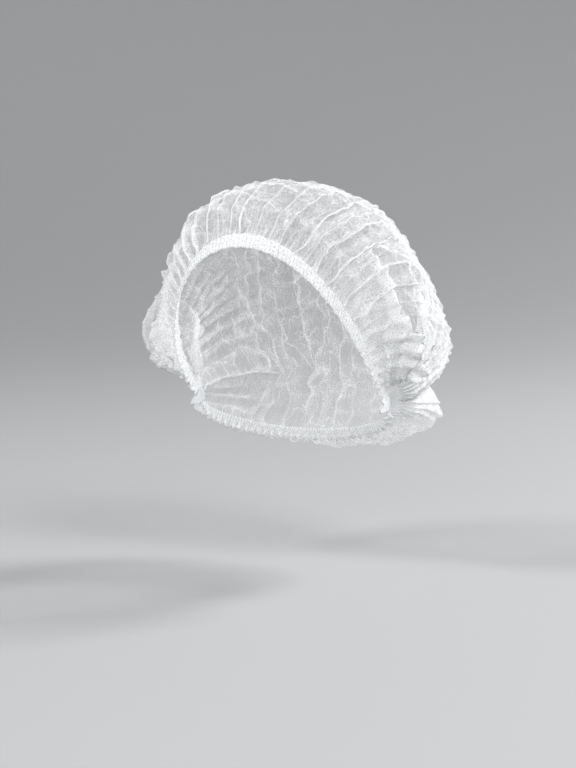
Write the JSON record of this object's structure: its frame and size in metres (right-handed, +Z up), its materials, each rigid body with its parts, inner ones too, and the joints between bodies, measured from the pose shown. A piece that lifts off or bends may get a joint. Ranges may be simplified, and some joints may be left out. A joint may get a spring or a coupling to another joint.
{
  "type": "disposable hair cover cap",
  "caption": "Worn disposable hair cover cap: white pleated non-woven cloth fanned out from two ear seals, with gathered elastic hems at forehead and nape.",
  "frame": {"origin": "where the crown's inner face rests on the top of the head", "axes": "+Z up, the face looks along -Y, and the wearer's left ear is at +X"},
  "size_m": [0.2508, 0.2264, 0.2056],
  "materials": {
    "crown_cloth": "thin white translucent spunbond non-woven cloth, matt",
    "gathered_hem": "the same cloth folded and gathered tight round flat elastic, nearly opaque",
    "pressed_seal": "many layers of the cloth pressed and welded together, stiff and slightly glossy"
  },
  "bodies": {
    "root": {"crown_front": "crown_cloth", "crown_back": "crown_cloth", "crown_nape": "crown_cloth", "front_hem": "gathered_hem", "rear_hem": "gathered_hem", "end_seal_left": "pressed_seal", "end_seal_right": "pressed_seal"}
  },
  "joints": []
}
